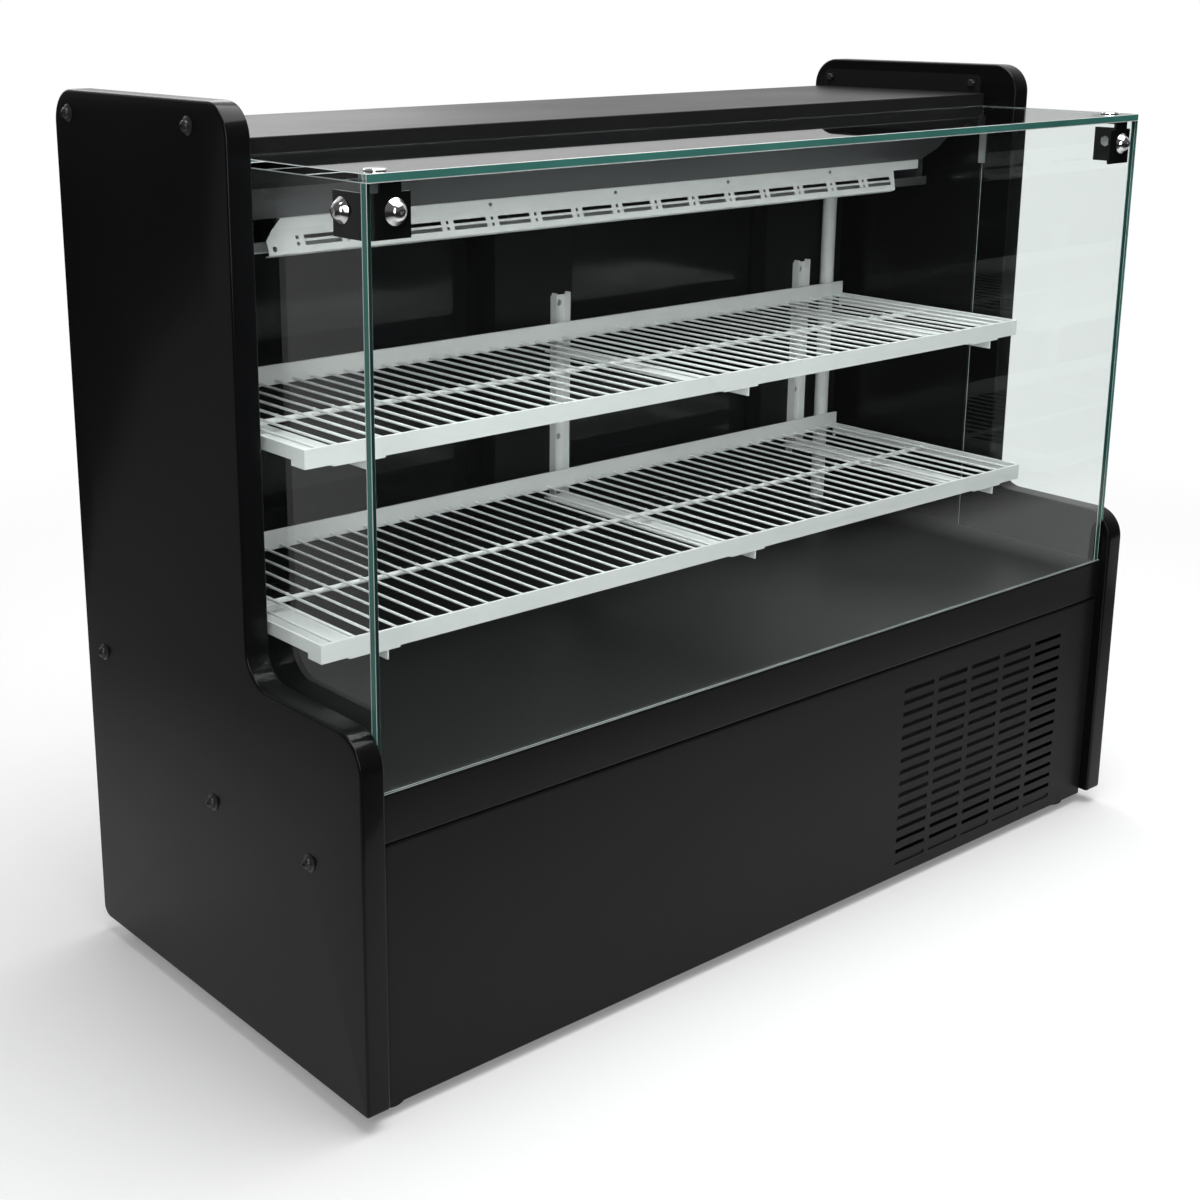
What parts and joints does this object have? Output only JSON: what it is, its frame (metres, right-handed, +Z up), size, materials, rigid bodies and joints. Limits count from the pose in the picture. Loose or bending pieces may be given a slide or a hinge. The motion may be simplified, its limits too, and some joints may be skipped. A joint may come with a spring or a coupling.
{
  "type": "refrigerated display case",
  "caption": "Refrigerated display case: stepped side panels, frameless glass hood, wire shelves, sliding rear doors and a condensing unit behind a slotted grille.",
  "frame": {"origin": "centre of the bounding box's base, on the floor under the middle of the case", "axes": "+X to the right along the case seen from the front, +Y from the front glass to the rear doors, +Z up; the front faces -Y"},
  "size_m": [1.264, 0.55, 0.998],
  "materials": {
    "panel_black": "satin",
    "cabinet_black": "satin",
    "foam": "matt",
    "cover_grey": "satin",
    "door_black": "gloss",
    "track_black": "matt",
    "foot_rubber": "matt",
    "screw_black": "satin",
    "screw_steel": "satin",
    "screw_chrome": "polished",
    "glass": "polished",
    "aluminium": "satin",
    "shelf_white": "satin",
    "tube_white": "satin",
    "galvanised": "satin",
    "compressor_black": "satin",
    "copper": "satin"
  },
  "bodies": {
    "case": {"base_side_left": "cabinet_black", "base_side_right": "cabinet_black", "base_tray": "cabinet_black", "cable_gland": "track_black", "compressor": "compressor_black", "condenser": "aluminium", "control_box": "cabinet_black", "corner_bracket_left": "cabinet_black", "corner_bracket_right": "cabinet_black", "deck": "cabinet_black", "deck_foam": "foam", "door_track_bottom": "track_black", "door_track_top": "track_black", "drain_tube": "tube_white", "drip_pan": "track_black", "evaporator_coil": "aluminium", "evaporator_cover": "cover_grey", "evaporator_tray": "aluminium", "fan_frame_left": "track_black", "fan_frame_right": "track_black", "fan_motor": "galvanised", "fan_shroud": "galvanised", "feet": "foot_rubber", "front_panel": "cabinet_black", "glass_front": "glass", "glass_screws": "screw_chrome", "glass_side_left": "glass", "glass_side_right": "glass", "glass_top": "glass", "outlet_strip": "shelf_white", "pane_clips": "aluminium", "panel_nuts": "screw_black", "panel_screws": "screw_black", "panel_washers": "screw_black", "rear_panel": "cabinet_black", "rear_wall": "cabinet_black", "refrigerant_lines": "copper", "rocker_frame": "track_black", "shelf_arms_lower": "shelf_white", "shelf_arms_upper": "shelf_white", "shelf_frame_lower": "shelf_white", "shelf_frame_upper": "shelf_white", "shelf_uprights": "shelf_white", "shelf_wires_lower": "shelf_white", "shelf_wires_upper": "shelf_white", "side_panel_left": "panel_black", "side_panel_right": "panel_black", "strip_rivets": "screw_steel", "top_housing": "cabinet_black", "unit_base": "galvanised", "unit_end_plate": "cover_grey", "upright_screws": "screw_steel"},
    "rear_door_left": {"rear_door_left": "door_black"},
    "rear_door_right": {"rear_door_right": "door_black"},
    "evaporator_fan_left": {"evaporator_fan_left": "track_black"},
    "evaporator_fan_right": {"evaporator_fan_right": "track_black"},
    "condenser_fan": {"condenser_fan": "aluminium"},
    "thermostat_knob": {"thermostat_knob": "track_black"},
    "power_rocker": {"power_rocker": "track_black"}
  },
  "joints": [
    {"name": "rear_door_left_slide", "type": "slide", "parent": "case", "child": "rear_door_left", "axis": [1, 0, 0], "range_m": [0, 0.387]},
    {"name": "rear_door_right_slide", "type": "slide", "parent": "case", "child": "rear_door_right", "axis": [-1, 0, 0], "range_m": [0, 0.387]},
    {"name": "evaporator_fan_left_spin", "type": "hinge", "parent": "case", "child": "evaporator_fan_left", "pos_m": [-0.22, 0.069, 0.8815], "axis": [0, 1, 0], "continuous": true},
    {"name": "evaporator_fan_right_spin", "type": "hinge", "parent": "case", "child": "evaporator_fan_right", "pos_m": [0.22, 0.069, 0.8815], "axis": [0, 1, 0], "continuous": true},
    {"name": "condenser_fan_spin", "type": "hinge", "parent": "case", "child": "condenser_fan", "pos_m": [0.3625, -0.169, 0.13975], "axis": [0, 1, 0], "continuous": true},
    {"name": "thermostat_knob_turn", "type": "hinge", "parent": "case", "child": "thermostat_knob", "pos_m": [-0.49, 0.262, 0.262], "axis": [0, 1, 0], "range_deg": [-135, 135]},
    {"name": "power_rocker_tilt", "type": "hinge", "parent": "case", "child": "power_rocker", "pos_m": [-0.425, 0.247, 0.262], "axis": [1, 0, 0], "range_deg": [-6, 6]}
  ]
}
